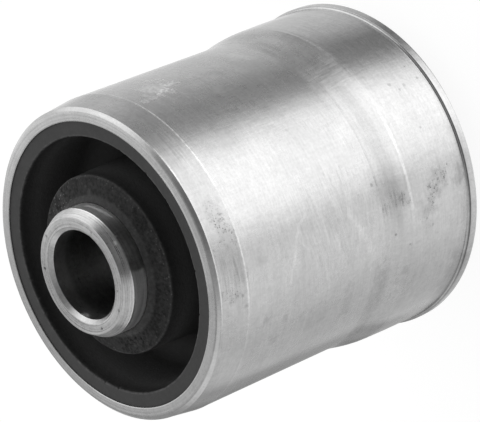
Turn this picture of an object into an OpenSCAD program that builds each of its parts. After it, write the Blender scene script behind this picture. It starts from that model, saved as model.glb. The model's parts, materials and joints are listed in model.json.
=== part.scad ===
// Bonded bush: a turned steel outer sleeve that is pressed into a housing, a steel tube
// for the bolt, and moulded rubber between them. It stands on the lower end of its tube,
// with the lipped end of the outer sleeve down and the tapered lead-in end up.
// Millimetres. The axis is Z, and the origin is the middle of the tube's lower end face.

/* [Outer sleeve] */
// Length of the outer sleeve, end face to end face
sleeve_length = 62.8; // [50:0.1:90]
// Diameter of the plain cylinder that most of the sleeve is
body_d = 59.4; // [50:0.1:80]
// Wall of the sleeve at its plain cylinder
sleeve_wall = 3.2; // [2.5:0.1:4]
// How far the seat at the lipped end stands above the plain cylinder
seat_rise = 1.1; // [0.5:0.1:1.5]
// Length of the seat, from the lip to the corner where the cone starts
seat_length = 15.2; // [8:0.1:18]
// Length of the cone from the seat down to the plain cylinder, corner to corner
cone_length = 5.8; // [5:0.1:9]
// Radius of the rounds that blend the cone into the seat and into the plain cylinder
cone_round = 21; // [5:0.5:24]
// How far the lip stands above the seat
lip_rise = 0.6; // [0.4:0.1:2]
// Width of the lip along the sleeve
lip_width = 1.7; // [1:0.1:4]
// Length of the tapered lead-in at the plain end
lead_length = 6.4; // [4:0.1:10]
// How much the lead-in narrows towards its end, on the radius
lead_drop = 0.75; // [0.4:0.05:1.1]
// Small step that the turning tool left where the lead-in starts
lead_step = 0.08; // [0.05:0.01:0.15]
// Chamfer round the outside of the plain end
rim_chamfer = 0.65; // [0.4:0.05:0.9]
// Broken edges of the lip and of the sleeve's own bore
edge_break = 0.2; // [0.1:0.05:0.25]

/* [Inner tube] */
// Outer diameter of the tube
tube_d = 23.8; // [21:0.1:30]
// Bore of the tube, which clears an M16 bolt
bolt_bore_d = 16.5; // [14:0.1:18]
// How far the tube stands out of the sleeve at each end
tube_stand_out = 5.7; // [4:0.1:10]
// How much the tube's outer chamfer takes off its radius
tube_chamfer_depth = 1; // [0.5:0.1:1.5]
// Length of the tube's outer chamfer along the axis
tube_chamfer_length = 1.8; // [1:0.1:2.5]
// Chamfer at the mouth of the bore
bore_chamfer = 0.7; // [0.3:0.1:1.2]

/* [Rubber] */
// Thickness of the rubber skin that lines the outer sleeve, at its mouth
skin_thickness = 2.8; // [2:0.1:4]
// Thickness of the rubber round the tube, at the mouth of the recess
boss_thickness = 4.75; // [3:0.05:5.5]
// Depth of the ring-shaped recess in each end, from the end of the sleeve
recess_depth = 16; // [8:0.5:20]
// Draft of the recess walls, so that the rubber leaves its mould
recess_draft = 2; // [0.5:0.5:3]
// How far the skin's end face lies inside the sleeve's end face
skin_set_back = 0.25; // [0.25:0.05:1]
// How far the edge of the boss lies inside the sleeve's end face
boss_set_back = 0.5; // [0.2:0.1:2]
// How much the boss's face rises from its edge to the collar
boss_face_rise = 0.7; // [0.2:0.1:1]
// Width of the collar that the rubber climbs the tube with, on the radius
collar_width = 1.2; // [0.8:0.1:2]
// How far the collar rises from the boss's face to its crest, were the crest sharp
collar_rise = 0.9; // [0.5:0.1:1.5]
// Rounding of the collar's crest, which leaves a crease beside the tube
collar_crest_radius = 0.25; // [0.1:0.05:0.4]
// Rounding of the skin's inner edge
skin_edge_radius = 0.5; // [0.2:0.1:1]
// Rounding of the boss's edge
boss_edge_radius = 0.5; // [0.2:0.1:1]

/* [Hidden] */
$fn = 128;
// How far a cutting shape runs past the surface that it cuts
over = 1;
// How far a round bites into the lines that it touches, so that they surely meet
bite = 0.0005;

// Heights, from the floor up
total_length = sleeve_length + 2 * tube_stand_out;
lip_end_z = tube_stand_out;
rim_z = tube_stand_out + sleeve_length;
lip_top_z = lip_end_z + lip_width;
seat_top_z = lip_top_z + seat_length;
cone_top_z = seat_top_z + cone_length;
lead_z = rim_z - lead_length;

// Radii of the outer sleeve
body_r = body_d / 2;
sleeve_bore_r = body_r - sleeve_wall;
seat_r = body_r + seat_rise;
lip_r = seat_r + lip_rise;
rim_r = body_r - lead_drop;

// Radii of the tube
tube_r = tube_d / 2;
bolt_bore_r = bolt_bore_d / 2;

// The recess: two drafted walls that run into one full round at the bottom
recess_middle_r = (sleeve_bore_r - skin_thickness + tube_r + boss_thickness) / 2;
recess_half = (sleeve_bore_r - skin_thickness - tube_r - boss_thickness) / 2;
root_r = (recess_half * cos(recess_draft) - recess_depth * sin(recess_draft))
    / (1 - sin(recess_draft));
root_z = rim_z - recess_depth + root_r;
skin_z = rim_z - skin_set_back;
boss_z = rim_z - boss_set_back;

// Half the width of the recess at a height
function half_width(z) = recess_half - (rim_z - z) * tan(recess_draft);

// A point on the skin's wall of the recess, and one on the boss's wall
function skin_wall(z) = [recess_middle_r + half_width(z), z];
function boss_wall(z) = [recess_middle_r - half_width(z), z];

// The direction from one point to another, with length 1
function way(from, to) = (to - from) / norm(to - from);

// Half the angle at a corner, between the edges that run to a and to b
function half_angle(corner, a, b) = acos(way(corner, a) * way(corner, b)) / 2;

// Where a round of radius r touches the edge that runs from the corner to a
function touch(corner, a, b, r) =
    corner + way(corner, a) * r / tan(half_angle(corner, a, b));

// The middle of that round
function middle(corner, a, b, r) =
    corner + way([0, 0], way(corner, a) + way(corner, b)) * r / sin(half_angle(corner, a, b));

// The disc of a round. Cutting it out of an inward corner, whose outline is drawn straight
// from one touching point to the other, leaves the round.
module round_disc(corner, a, b, r) {
    translate(middle(corner, a, b, r))
        circle(r + bite);
}

// What a round takes off an outward corner
module corner_cut(corner, a, b, r) {
    difference() {
        polygon([
            middle(corner, a, b, r),
            touch(corner, a, b, r),
            corner + way(middle(corner, a, b, r), corner) * over,
            touch(corner, b, a, r),
        ]);
        round_disc(corner, a, b, r);
    }
}

// The sleeve's section, from its lipped end at the bottom to its chamfered rim
module sleeve_profile() {
    seat_corner = [seat_r, seat_top_z];
    body_corner = [body_r, cone_top_z];
    seat_start = [seat_r, lip_top_z];
    body_end = [body_r, lead_z];
    difference() {
        polygon([
            [sleeve_bore_r, lip_end_z + edge_break],
            [sleeve_bore_r + edge_break, lip_end_z],
            [lip_r - edge_break, lip_end_z],
            [lip_r, lip_end_z + edge_break],
            [lip_r, lip_top_z - edge_break],
            [lip_r - edge_break, lip_top_z],
            seat_start,
            seat_corner,
            touch(body_corner, seat_corner, body_end, cone_round),
            touch(body_corner, body_end, seat_corner, cone_round),
            body_end,
            [body_r - lead_step, lead_z + lead_step],
            [rim_r, rim_z - rim_chamfer],
            [rim_r - rim_chamfer, rim_z],
            [sleeve_bore_r + edge_break, rim_z],
            [sleeve_bore_r, rim_z - edge_break],
        ]);
        corner_cut(seat_corner, seat_start, body_corner, cone_round);
        round_disc(body_corner, seat_corner, body_end, cone_round);
    }
}

// The tube's section, with the outer chamfer and the bore's chamfer at both ends
module tube_profile() {
    polygon([
        [bolt_bore_r, bore_chamfer],
        [bolt_bore_r + bore_chamfer, 0],
        [tube_r - tube_chamfer_depth, 0],
        [tube_r, tube_chamfer_length],
        [tube_r, total_length - tube_chamfer_length],
        [tube_r - tube_chamfer_depth, total_length],
        [bolt_bore_r + bore_chamfer, total_length],
        [bolt_bore_r, total_length - bore_chamfer],
    ]);
}

// The recess in the upper end
module recess() {
    top_z = rim_z + over;
    wall_end_z = root_z - root_r * sin(recess_draft);
    polygon([boss_wall(top_z), skin_wall(top_z), skin_wall(wall_end_z), boss_wall(wall_end_z)]);
    translate([recess_middle_r, root_z])
        circle(root_r + bite);
}

// The upper half of the rubber's section: a boss that climbs the tube with a collar, the
// recess, and the skin that lines the sleeve. It runs a little past the middle.
module upper_rubber_profile() {
    base_z = total_length / 2 - over;
    tube_base = [tube_r, base_z];
    collar_foot = [tube_r + collar_width, boss_z + boss_face_rise];
    collar_crest = [tube_r, collar_foot[1] + collar_rise];
    boss_corner = boss_wall(boss_z);
    skin_corner = skin_wall(skin_z);
    difference() {
        polygon([
            tube_base,
            collar_crest,
            collar_foot,
            boss_corner,
            [recess_middle_r, boss_z],
            [recess_middle_r, skin_z],
            [sleeve_bore_r, skin_z],
            [sleeve_bore_r, base_z],
        ]);
        recess();
        corner_cut(collar_crest, tube_base, collar_foot, collar_crest_radius);
        corner_cut(boss_corner, collar_foot, boss_wall(root_z), boss_edge_radius);
        corner_cut(skin_corner, [sleeve_bore_r, skin_z], skin_wall(root_z), skin_edge_radius);
    }
}

// The rubber's whole section, the same at both ends
module rubber_profile() {
    upper_rubber_profile();
    translate([0, total_length])
        mirror([0, 1])
            upper_rubber_profile();
}

module outer_sleeve() {
    color([0.74, 0.74, 0.75])
        rotate_extrude()
            sleeve_profile();
}

module rubber() {
    color([0.09, 0.09, 0.09])
        rotate_extrude()
            rubber_profile();
}

module inner_tube() {
    color([0.68, 0.68, 0.69])
        rotate_extrude()
            tube_profile();
}

outer_sleeve();
rubber();
inner_tube();
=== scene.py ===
# %% [markdown]
# # A bonded rubber bush, from three turned outlines to a product photo
# This bush joins a suspension arm to its bracket. Its outer sleeve and its inner tube are turned
# from steel, and rubber is moulded between them and bonded to both. The script keeps the packed
# part as its frame, turns a finer mesh for each of the three pieces, and gives each surface a
# finish made of shader nodes.

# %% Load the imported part
import json
import math

import bmesh
import bpy
from mathutils import Matrix, Vector, noise
from mathutils.geometry import intersect_point_line


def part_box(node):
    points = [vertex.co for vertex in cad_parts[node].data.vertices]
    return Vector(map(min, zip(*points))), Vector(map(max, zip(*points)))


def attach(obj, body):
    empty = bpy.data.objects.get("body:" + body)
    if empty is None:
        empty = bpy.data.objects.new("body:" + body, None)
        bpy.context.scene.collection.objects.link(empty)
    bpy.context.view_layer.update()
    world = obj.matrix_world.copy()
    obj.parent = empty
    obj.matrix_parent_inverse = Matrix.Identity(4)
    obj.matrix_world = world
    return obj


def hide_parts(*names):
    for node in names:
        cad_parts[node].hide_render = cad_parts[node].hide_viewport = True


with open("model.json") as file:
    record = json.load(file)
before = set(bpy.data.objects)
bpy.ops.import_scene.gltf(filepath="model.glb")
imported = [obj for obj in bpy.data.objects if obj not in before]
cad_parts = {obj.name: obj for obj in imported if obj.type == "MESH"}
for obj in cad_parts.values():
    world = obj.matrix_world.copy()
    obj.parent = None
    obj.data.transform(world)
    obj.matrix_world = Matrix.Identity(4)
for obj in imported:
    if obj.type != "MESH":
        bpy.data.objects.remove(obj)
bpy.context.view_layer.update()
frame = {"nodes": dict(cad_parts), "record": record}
print("packed nodes:", sorted(frame["nodes"]))

# %% [markdown]
# ## Sizes
# The meshes are drawn in millimetres, because a lathe drawing is, and are scaled to metres at the
# end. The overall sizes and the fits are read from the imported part. Walls, chamfers and rounds
# have no entry of their own there, so they are named here.

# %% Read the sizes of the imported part
MM = 0.001


def mount(name):
    """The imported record's mount of that name."""
    return next(entry for entry in frame["record"]["mounts"] if entry["name"] == name)


def mount_ends(name):
    """The lower and the upper height of a mount's cylinder, in millimetres."""
    middle = mount(name)["pos_m"][2] / MM
    half = mount(name)["dims"]["length_mm"] / 2
    return middle - half, middle + half


sleeve_low, sleeve_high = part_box("outer_sleeve")
tube_low, tube_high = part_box("inner_tube")
lip_end_z = sleeve_low.z / MM
rim_z = sleeve_high.z / MM
tube_length = tube_high.z / MM
middle_z = tube_length / 2
lip_r = sleeve_high.x / MM
body_r = mount("body_fit")["dims"]["r_mm"]
seat_r = mount("seat_fit")["dims"]["r_mm"]
bolt_bore_r = mount("bolt_bore")["dims"]["r_mm"]
tube_r = tube_high.x / MM
lip_top_z = mount("lip_shoulder")["pos_m"][2] / MM
lead_z = mount_ends("body_fit")[1]
print("sleeve from", round(lip_end_z, 2), "to", round(rim_z, 2), "mm, tube", round(tube_length, 2), "mm long")

# %% [markdown]
# ## How a turned piece is made
# Every piece of the bush is the same all round. A lathe cuts such a piece from one outline, and
# Blender's spin does the same. So each mesh starts as a few corners in the XZ plane. A vertex
# bevel rounds a corner before the spin, which is easier than to bevel the finished ring.

# %% Draw an outline and round its corners
def outline(corners):
    """Joins (radius, height) corners into a closed outline, and returns it with its corners."""
    section = bmesh.new()
    verts = [section.verts.new((radius, 0, height)) for radius, height in corners]
    for here, there in zip(verts, verts[1:] + verts[:1]):
        section.edges.new((here, there))
    print("outline of", len(verts), "corners")
    return section, verts


def round_corner(section, corner, radius, steps=3):
    """Rounds one corner of an outline."""
    one, other = [edge.other_vert(corner).co - corner.co for edge in corner.link_edges]
    reach = radius / math.tan(one.angle(other) / 2)
    bmesh.ops.bevel(section, geom=[corner], offset=reach, offset_type="OFFSET", segments=steps,
                    profile=0.5, affect="VERTICES", material=-1)


# %% [markdown]
# A smooth shaded mesh bends the light over the whole width of a face, also where the real face is
# flat right up to its broken edge. Two extra vertices near the ends of each long line, often called
# holding edges, keep the bend beside the edge where it belongs.

# %% Hold the edges and cut fine grooves
HOLD = 0.12


def hold_edges(section, longest=6.0):
    """Adds a vertex near both ends of each long line, and cuts what is still long into equal steps."""
    for edge in [edge for edge in section.edges if edge.calc_length() > 4 * HOLD]:
        length = edge.calc_length()
        start = edge.verts[0]
        far_edge, _ = bmesh.utils.edge_split(edge, start, HOLD / length)
        rest = edge if edge.calc_length() > far_edge.calc_length() else far_edge
        near = min(rest.verts, key=lambda vert: (vert.co - start.co).length)
        bmesh.utils.edge_split(rest, near, 1 - HOLD / rest.calc_length())
    for edge in [edge for edge in section.edges if edge.calc_length() > longest]:
        bmesh.ops.subdivide_edges(section, edges=[edge], cuts=int(edge.calc_length() / longest))


def cut_rows(section, inside, step):
    """Cuts the lines whose two ends both lie inside a region into short steps."""
    for edge in [edge for edge in section.edges if all(inside(vert.co) for vert in edge.verts)]:
        cuts = int(edge.calc_length() / step)
        if cuts:
            bmesh.ops.subdivide_edges(section, edges=[edge], cuts=cuts)


def split_at(section, point):
    """Adds a vertex to the line of an outline that lies nearest to a point, and returns it."""
    def nearest(edge):
        start, end = edge.verts[0].co, edge.verts[1].co
        share = min(max(intersect_point_line(point, start, end)[1], 0), 1)
        return (start.lerp(end, share) - point).length, share
    edge = min(section.edges, key=lambda candidate: nearest(candidate)[0])
    return bmesh.utils.edge_split(edge, edge.verts[0], nearest(edge)[1])[1]


def cut_groove(section, radius, height, inward, width, depth):
    """Cuts one V groove into an outline. inward is the way into the metal, as (radius, height)."""
    into = Vector((inward[0], 0, inward[1])).normalized()
    along = Vector((into.z, 0, -into.x))
    point = Vector((radius, 0, height))
    split_at(section, point - along * width / 2)
    split_at(section, point + along * width / 2)
    bottom = split_at(section, point)
    bottom.co += into * depth


def raise_burr(section, corner, toward, rise, width):
    """Moves a corner of an outline outwards, with a short slope on the side that faces a point."""
    def gap(edge):
        return (edge.other_vert(corner).co - Vector(toward)).length
    edge = min(corner.link_edges, key=gap)
    bmesh.utils.edge_split(edge, corner, width / edge.calc_length())
    corner.co.x += rise


# %% [markdown]
# ## From an outline to an object
# A full spin ends where it began, so the doubles at the seam and on sharp rings are merged, and the
# normals are recalculated after that. The finished piece is scaled to metres in its mesh, so that its
# object stays at the origin, unturned and unscaled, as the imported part's objects are.

# %% Spin an outline into a piece
def turn(section, around):
    """Spins an outline once round Z, in millimetres, and points its faces outwards."""
    bmesh.ops.spin(section, geom=section.verts[:] + section.edges[:], cent=(0, 0, 0), axis=(0, 0, 1),
                   angle=math.tau, steps=around, use_merge=True, use_duplicate=False)
    bmesh.ops.remove_doubles(section, verts=section.verts[:], dist=0.0005)
    bmesh.ops.recalc_face_normals(section, faces=section.faces[:])
    return section


# %% Make an object of a piece
SHARP = math.radians(50)


def finish_piece(piece, name, node, material):
    """Turns a piece in millimetres into an object that stands for its CAD node."""
    bmesh.ops.scale(piece, vec=(MM, MM, MM), verts=piece.verts[:])
    for face in piece.faces:
        face.smooth = True
    for edge in piece.edges:
        edge.smooth = edge.calc_face_angle(0) < SHARP
    mesh = bpy.data.meshes.new(name)
    piece.to_mesh(mesh)
    piece.free()
    mesh.materials.append(material)
    made = bpy.data.objects.new(name, mesh)
    bpy.context.scene.collection.objects.link(made)
    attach(made, "root")
    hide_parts(node)
    mesh.calc_loop_triangles()
    print(name, len(mesh.loop_triangles), "triangles")
    return made


# %% [markdown]
# ## The outer sleeve
# The sleeve is pressed into its housing, so its outside is all fits: a lip that stops it, a seat,
# a smooth step, a long plain cylinder and a lead-in that starts it in the bore. The step's two
# corners are rounded with a large radius, and every other edge is only broken with a file. The tool
# also pushed up a tiny burr at three edges, and such a burr catches the light as a bright line.

# %% Draw the outer sleeve
SLEEVE_WALL = 3.2
SEAT_LENGTH = 15.2
CONE_LENGTH = 5.8
CONE_ROUND = 21
SEAT_CROWN = 0.08
LIP_FILLET = 0.4
LEAD_DROP = 0.75
BURR_RISE = 0.03
BURR_WIDTH = 0.15
RIM_CHAMFER = 0.65
SEAT_BURR_Z = 22.0
SEAT_BURR_LENGTH = 0.8
ROUND_STEPS = 12

sleeve_bore_r = body_r - SLEEVE_WALL
rim_r = body_r - LEAD_DROP
seat_top_z = lip_top_z + SEAT_LENGTH
cone_top_z = seat_top_z + CONE_LENGTH

sleeve, corner = outline([
    (sleeve_bore_r, lip_end_z), (lip_r, lip_end_z), (lip_r, lip_top_z), (seat_r, lip_top_z),
    (seat_r, seat_top_z), (body_r, cone_top_z), (body_r, lead_z),
    (rim_r, rim_z - RIM_CHAMFER), (rim_r - RIM_CHAMFER, rim_z), (sleeve_bore_r, rim_z),
])
# One round for each corner above, in the same order.
sleeve_rounds = [0.25, 0.25, 0.06, LIP_FILLET, CONE_ROUND, CONE_ROUND, 0, 0, 0.5, 0.1]
for vert, radius in zip(corner, sleeve_rounds):
    if radius:
        round_corner(sleeve, vert, radius, steps=ROUND_STEPS if radius == CONE_ROUND else 3)
for vert in corner[6:8]:
    raise_burr(sleeve, vert, (body_r, 0, middle_z), BURR_RISE, BURR_WIDTH)
seat_burr = split_at(sleeve, Vector((seat_r, 0, SEAT_BURR_Z)))
split_at(sleeve, Vector((seat_r, 0, SEAT_BURR_Z + SEAT_BURR_LENGTH)))
raise_burr(sleeve, seat_burr, (seat_r, 0, lip_top_z), BURR_RISE / 2, BURR_WIDTH)
print("sleeve: wall", SLEEVE_WALL, "mm, cone from", round(seat_top_z, 2), "to", round(cone_top_z, 2), "mm")

# %% [markdown]
# A turned surface carries a few single rings that are deeper than the rest. They are cut as grooves in
# the outline, before the spin. The seat of the real sleeve is not quite a cylinder either: its lower
# part stands a little proud, which shows as a soft change in the light towards the lip.

# %% Cut the sleeve's tool marks
BODY_GROOVES = [(47.0, 0.006), (28.4, 0.03)]
BODY_GROOVE_WIDTH = 0.3
RIM_GROOVES = [(26.95, 0.006), (27.6, 0.009)]
RIM_GROOVE_WIDTH = 0.25
INTO_SIDE = (-1, 0)
INTO_TOP = (0, -1)
INTO_BOTTOM = (0, 1)

for height, depth in BODY_GROOVES:
    radius = seat_r if height < cone_top_z else body_r
    cut_groove(sleeve, radius, height, INTO_SIDE, BODY_GROOVE_WIDTH, depth)
for radius, depth in RIM_GROOVES:
    cut_groove(sleeve, radius, rim_z, INTO_TOP, RIM_GROOVE_WIDTH, depth)
hold_edges(sleeve)

# %% Crown the seat and spin the sleeve
CROWN_BELOW_CONE = 2
CROWN_FADE = 3
AROUND_SLEEVE = 320

crown_top_z = seat_top_z - CROWN_BELOW_CONE
for vert in sleeve.verts:
    above_seat = max(0, vert.co.x - seat_r)
    beside_seat = seat_r - 0.1 < vert.co.x and lip_top_z <= vert.co.z < crown_top_z
    if beside_seat and above_seat < LIP_FILLET:
        fade = min(1, (crown_top_z - vert.co.z) / CROWN_FADE)
        vert.co.x += SEAT_CROWN * fade * (1 - above_seat / LIP_FILLET)
turn(sleeve, AROUND_SLEEVE)
print("outer sleeve:", len(sleeve.faces), "faces")

# %% [markdown]
# ## The inner tube
# The tube carries the bolt. It is cut from drawn bar, then faced, bored and chamfered inside and
# outside, the same at both ends. Its edges are only just broken.

# %% Draw the inner tube
TUBE_CHAMFER_DEPTH = 1.0
TUBE_CHAMFER_LENGTH = 1.8
BORE_CHAMFER = 0.7
TUBE_EDGE = 0.1

tube, corner = outline([
    (bolt_bore_r, BORE_CHAMFER), (bolt_bore_r + BORE_CHAMFER, 0), (tube_r - TUBE_CHAMFER_DEPTH, 0),
    (tube_r, TUBE_CHAMFER_LENGTH), (tube_r, tube_length - TUBE_CHAMFER_LENGTH),
    (tube_r - TUBE_CHAMFER_DEPTH, tube_length), (bolt_bore_r + BORE_CHAMFER, tube_length),
    (bolt_bore_r, tube_length - BORE_CHAMFER),
])
for vert in corner:
    round_corner(tube, vert, TUBE_EDGE)

# %% [markdown]
# The lathe left clear rings on the outer chamfer, because it was cut faster than the rest. They are
# grooves in the mesh, so that the light breaks up on them as on the real chamfer. A sine gives each
# ring a depth of its own.

# %% Cut the rings of the tube and spin it
CHAMFER_RINGS = 6
CHAMFER_RING_WIDTH = 0.24
RING_DEPTH = 0.018
RING_DEPTH_SPREAD = 0.012
FACE_RINGS = (9.4, 9.9, 10.45)
FACE_RING_WIDTH = 0.22
FACE_RING_DEPTH = 0.012
AROUND_TUBE = 224

into_upper = (-TUBE_CHAMFER_LENGTH, -TUBE_CHAMFER_DEPTH)
into_lower = (-TUBE_CHAMFER_LENGTH, TUBE_CHAMFER_DEPTH)
for ring in range(CHAMFER_RINGS):
    share = (ring + 0.7) / (CHAMFER_RINGS + 0.4)
    radius = tube_r - TUBE_CHAMFER_DEPTH * share
    rise = TUBE_CHAMFER_LENGTH * (1 - share)
    depth = RING_DEPTH + RING_DEPTH_SPREAD * math.sin(ring * 2.4)
    cut_groove(tube, radius, tube_length - rise, into_upper, CHAMFER_RING_WIDTH, depth)
    cut_groove(tube, radius, rise, into_lower, CHAMFER_RING_WIDTH, depth)
for radius in FACE_RINGS:
    cut_groove(tube, radius, tube_length, INTO_TOP, FACE_RING_WIDTH, FACE_RING_DEPTH)
    cut_groove(tube, radius, 0, INTO_BOTTOM, FACE_RING_WIDTH, FACE_RING_DEPTH)
hold_edges(tube)
turn(tube, AROUND_TUBE)
print("inner tube:", len(tube.faces), "faces")

# %% [markdown]
# ## The rubber
# The rubber is one moulding. At each end a ring-shaped recess leaves a thin skin in the sleeve and a
# thick boss on the tube, and the boss climbs the tube with a small collar. The walls of the recess
# have draft, so that the mould comes out, and its root is one full round. Only the upper half of the
# outline is drawn, and it stays open at the middle.

# %% Draw the rubber
SKIN_THICKNESS = 2.8
BOSS_THICKNESS = 4.75
RECESS_DEPTH = 16
RECESS_DRAFT = math.radians(2)
SKIN_SET_BACK = 0.25
BOSS_SET_BACK = 0.5
BOSS_FACE_RISE = 0.7
COLLAR_WIDTH = 1.2
COLLAR_RISE = 0.9
RUBBER_ROUNDS = [(1, 0.25, 4), (2, 0.15, 3), (3, 0.4, 5), (6, 0.3, 5), (7, 0.08, 2)]
ROOT_STEPS = 10

skin_z = rim_z - SKIN_SET_BACK
boss_z = rim_z - BOSS_SET_BACK
foot_z = boss_z + BOSS_FACE_RISE
mouth_r = sleeve_bore_r - SKIN_THICKNESS
boss_r = tube_r + BOSS_THICKNESS
root_z = rim_z - RECESS_DEPTH
draft = RECESS_DEPTH * math.tan(RECESS_DRAFT)
root_half = (mouth_r - boss_r) / 2 - draft

rubber, corner = outline([
    (tube_r, middle_z), (tube_r, foot_z + COLLAR_RISE), (tube_r + COLLAR_WIDTH, foot_z), (boss_r, boss_z),
    (boss_r + draft, root_z), (mouth_r - draft, root_z), (mouth_r, skin_z), (sleeve_bore_r, skin_z),
    (sleeve_bore_r, middle_z),
])
for index, radius, steps in RUBBER_ROUNDS:
    round_corner(rubber, corner[index], radius, steps)
# A hair under the full round keeps the root's two arcs from meeting in one point.
full_round = root_half * math.tan(math.pi / 4 + RECESS_DRAFT / 2) * 0.999
for vert in corner[4:6]:
    round_corner(rubber, vert, full_round, ROOT_STEPS)
across_middle = next(edge for edge in corner[0].link_edges if edge.other_vert(corner[0]) == corner[8])
rubber.edges.remove(across_middle)
print("rubber: recess", RECESS_DEPTH, "mm deep with a root of", round(full_round, 2), "mm")

# %% [markdown]
# The boss's face and the skin's inner edge get short steps, because they are roughened later and a
# rough surface needs vertices to move. A mirror at the middle then makes the lower half, as both ends
# come from one mould.

# %% Mirror the rubber's outline and spin it
LONGEST_STEP = 9.0
BOSS_ROW = 0.45
EDGE_ROW = 0.3
EDGE_ROWS_END = 1.4
AROUND_RUBBER = 540

hold_edges(rubber, longest=LONGEST_STEP)
split_at(rubber, Vector((mouth_r, 0, skin_z - EDGE_ROWS_END)))
cut_rows(rubber, lambda place: place.z > boss_z and tube_r + 1 < place.x < boss_r, BOSS_ROW)
cut_rows(rubber, lambda place: place.z > skin_z - 1.5 and abs(place.x - mouth_r) < 1, EDGE_ROW)
bmesh.ops.translate(rubber, vec=(0, 0, -middle_z), verts=rubber.verts[:])
bmesh.ops.mirror(rubber, geom=rubber.verts[:] + rubber.edges[:], matrix=Matrix.Identity(4),
                 merge_dist=0.001, axis="Z")
bmesh.ops.translate(rubber, vec=(0, 0, middle_z), verts=rubber.verts[:])
turn(rubber, AROUND_RUBBER)
print("rubber:", len(rubber.faces), "faces")

# %% [markdown]
# A moulded edge is never as clean as a turned one. Flash was torn off the skin's inner edge, so that
# edge wanders a little and has a few nicks. The vertices near it are moved by smooth noise, which is
# the same in every run.

# %% Roughen the rubber's moulded edges
EDGE_WANDER = 0.1
EDGE_WAVES = 14
EDGE_REACH = 0.7
EDGE_DEPTH = 1.2
NICK_DEPTH = 0.3
NICK_WAVES = 40
NICK_LEVEL = 0.3
BOSS_WANDER = 0.05
BOSS_LUMPS = 0.9


def wander(angle, size, seed):
    """Smooth noise from -1 to 1 that closes on itself round the axis."""
    return noise.noise(Vector((math.cos(angle) * size, math.sin(angle) * size, seed)))


for vert in rubber.verts:
    radius = math.hypot(vert.co.x, vert.co.y)
    angle = math.atan2(vert.co.y, vert.co.x)
    end = math.copysign(1, vert.co.z - middle_z)
    below_end = rim_z - (middle_z + abs(vert.co.z - middle_z))
    if abs(radius - mouth_r) < EDGE_REACH and below_end < EDGE_DEPTH:
        fade = (1 - abs(radius - mouth_r) / EDGE_REACH) * (1 - below_end / EDGE_DEPTH)
        nick = max(0, wander(angle, NICK_WAVES, 7 * end) - NICK_LEVEL) * NICK_DEPTH / NICK_LEVEL
        shift = (EDGE_WANDER * wander(angle, EDGE_WAVES, 3 * end) + nick) * fade
        vert.co.x += math.cos(angle) * shift
        vert.co.y += math.sin(angle) * shift
    if tube_r + 1 < radius < boss_r - 0.1 and below_end < 1:
        lump = noise.noise(Vector((vert.co.x, vert.co.y, end)) * BOSS_LUMPS)
        vert.co.z += end * BOSS_WANDER * lump
print("rubber: edge wanders by up to", EDGE_WANDER, "mm, with nicks of up to", NICK_DEPTH, "mm")

# %% [markdown]
# ## Shader helpers
# A material is a graph of nodes. A few short helpers keep the graphs readable: one adds a node with
# its settings and sockets, and the others add the Math and Map Range nodes that make most masks.

# %% Define the shader helpers
def add(tree, kind, sockets=None, **settings):
    """Adds a node. A socket's value is a number, a colour, a vector or another node's output."""
    made = tree.nodes.new(kind)
    for name, value in settings.items():
        setattr(made, name, value)
    for socket, value in (sockets or {}).items():
        if isinstance(value, bpy.types.NodeSocket):
            tree.links.new(value, made.inputs[socket])
        else:
            made.inputs[socket].default_value = value
    return made


def calc(tree, operation, first, second=0.0, clamp=False):
    """The result of a Math node."""
    return add(tree, "ShaderNodeMath", {0: first, 1: second}, operation=operation, use_clamp=clamp).outputs[0]


def vector_math(tree, operation, first, second, output):
    """The result of a Vector Math node, which is its Value or its Vector."""
    return add(tree, "ShaderNodeVectorMath", {0: first, 1: second}, operation=operation).outputs[output]


def times(tree, first, *others):
    """The product of numbers and results."""
    for other in others:
        first = calc(tree, "MULTIPLY", first, other)
    return first


def remap(tree, value, low, high, to_low=0.0, to_high=1.0):
    """The result of a smooth Map Range node."""
    made = add(tree, "ShaderNodeMapRange", {"Value": value, "From Min": low, "From Max": high,
               "To Min": to_low, "To Max": to_high}, interpolation_type="SMOOTHSTEP")
    return made.outputs["Result"]


def ramp_mm(tree, value, none_mm, full_mm):
    """A mask that rises from 0 at one length to 1 at another."""
    return remap(tree, value, none_mm * MM, full_mm * MM)


# %% Define how a group and a material start
def new_group(name, inputs, outputs):
    """Starts a shader node group with number and vector sockets. Returns it with its two end nodes."""
    group = bpy.data.node_groups.new(name, "ShaderNodeTree")
    for socket, value in inputs.items():
        kind = "NodeSocketVector" if isinstance(value, tuple) else "NodeSocketFloat"
        group.interface.new_socket(socket, in_out="INPUT", socket_type=kind).default_value = value
    for socket in outputs:
        group.interface.new_socket(socket, in_out="OUTPUT", socket_type="NodeSocketFloat")
    print("group", name, "gives", ", ".join(outputs))
    return group, group.nodes.new("NodeGroupInput").outputs, group.nodes.new("NodeGroupOutput").inputs


def use_group(tree, group, **sockets):
    """Places a node group with its own values. An underscore in a name stands for a space."""
    named = {name.replace("_", " "): value for name, value in sockets.items()}
    return add(tree, "ShaderNodeGroup", named, node_tree=group).outputs


def new_material(name):
    """A material with an empty tree, its output node and its tree."""
    material = bpy.data.materials.new(name)
    material.use_nodes = True
    tree = material.node_tree
    tree.nodes.clear()
    return material, tree, add(tree, "ShaderNodeOutputMaterial")


# %% [markdown]
# ## Places on a turned piece
# A turned piece is described by the angle round its axis and the distance along its outline, not by
# X, Y and Z. This group works them out from the Object coordinates: the cosine and the sine of the
# angle, the distance along the outline, the radius, the height, and how far a place lies below the
# nearer end of the sleeve.

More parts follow.
